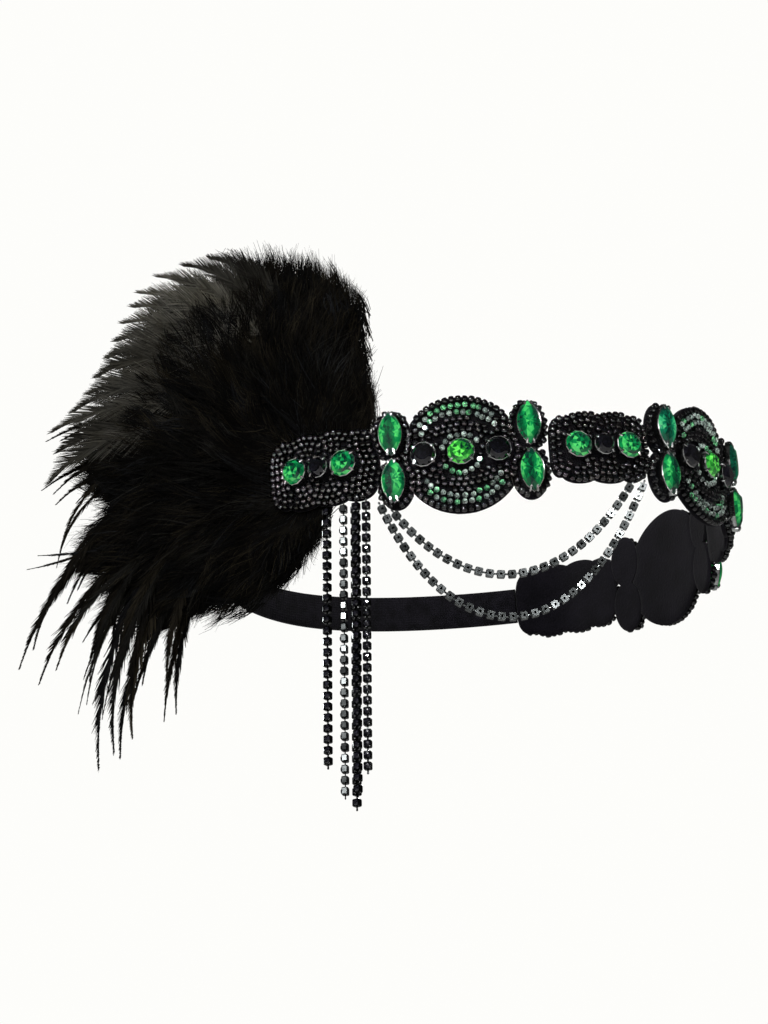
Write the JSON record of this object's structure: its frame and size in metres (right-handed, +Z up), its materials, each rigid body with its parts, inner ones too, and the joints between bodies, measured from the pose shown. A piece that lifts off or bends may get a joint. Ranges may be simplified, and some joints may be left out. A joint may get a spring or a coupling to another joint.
{
  "type": "flapper feather headband",
  "caption": "Beaded felt headband with green and black stones, an elastic back, a black feather plume, a chain fringe and two chain swags on one side.",
  "frame": {"origin": "centre of the head opening at the mid height of the band, where the head sits", "axes": "+Z up through the crown of the head, -Y to the front of the head, -X to the wearer's right"},
  "size_m": [0.1854, 0.1966, 0.1864],
  "materials": {
    "beaded_felt": "black felt covered with glossy black seed beads",
    "elastic": "ribbed black elastic webbing",
    "green_stone": "foil-backed emerald green cut stone in a claw setting",
    "black_stone": "jet black cut stone in a claw setting",
    "chain_metal": "gunmetal cup chain with black stones",
    "feather": "black feathers, downy at the root and pointed at the tips"
  },
  "bodies": {
    "root": {"black_stone_end_panel_left": "black_stone", "black_stone_end_panel_right": "black_stone", "black_stone_medallion_front_a": "black_stone", "black_stone_medallion_front_b": "black_stone", "black_stone_medallion_left_a": "black_stone", "black_stone_medallion_left_b": "black_stone", "black_stone_medallion_right_a": "black_stone", "black_stone_medallion_right_b": "black_stone", "black_stone_scalloped_panel_left": "black_stone", "black_stone_scalloped_panel_right": "black_stone", "elastic_strap": "elastic", "end_panel_left": "beaded_felt", "end_panel_right": "beaded_felt", "feather_plume": "feather", "fringe_strand_1": "chain_metal", "fringe_strand_2": "chain_metal", "fringe_strand_3": "chain_metal", "fringe_strand_4": "chain_metal", "fringe_strand_5": "chain_metal", "green_navette_navette_pair_left_1_lower": "green_stone", "green_navette_navette_pair_left_1_upper": "green_stone", "green_navette_navette_pair_left_2_lower": "green_stone", "green_navette_navette_pair_left_2_upper": "green_stone", "green_navette_navette_pair_left_3_lower": "green_stone", "green_navette_navette_pair_left_3_upper": "green_stone", "green_navette_navette_pair_right_1_lower": "green_stone", "green_navette_navette_pair_right_1_upper": "green_stone", "green_navette_navette_pair_right_2_lower": "green_stone", "green_navette_navette_pair_right_2_upper": "green_stone", "green_navette_navette_pair_right_3_lower": "green_stone", "green_navette_navette_pair_right_3_upper": "green_stone", "green_stone_end_panel_left_a": "green_stone", "green_stone_end_panel_left_b": "green_stone", "green_stone_end_panel_right_a": "green_stone", "green_stone_end_panel_right_b": "green_stone", "green_stone_medallion_front": "green_stone", "green_stone_medallion_left": "green_stone", "green_stone_medallion_right": "green_stone", "green_stone_scalloped_panel_left_a": "green_stone", "green_stone_scalloped_panel_left_b": "green_stone", "green_stone_scalloped_panel_right_a": "green_stone", "green_stone_scalloped_panel_right_b": "green_stone", "medallion_front": "beaded_felt", "medallion_left": "beaded_felt", "medallion_right": "beaded_felt", "navette_pair_left_1": "beaded_felt", "navette_pair_left_2": "beaded_felt", "navette_pair_left_3": "beaded_felt", "navette_pair_right_1": "beaded_felt", "navette_pair_right_2": "beaded_felt", "navette_pair_right_3": "beaded_felt", "scalloped_panel_left": "beaded_felt", "scalloped_panel_right": "beaded_felt", "swag_lower": "chain_metal", "swag_upper": "chain_metal"}
  },
  "joints": []
}
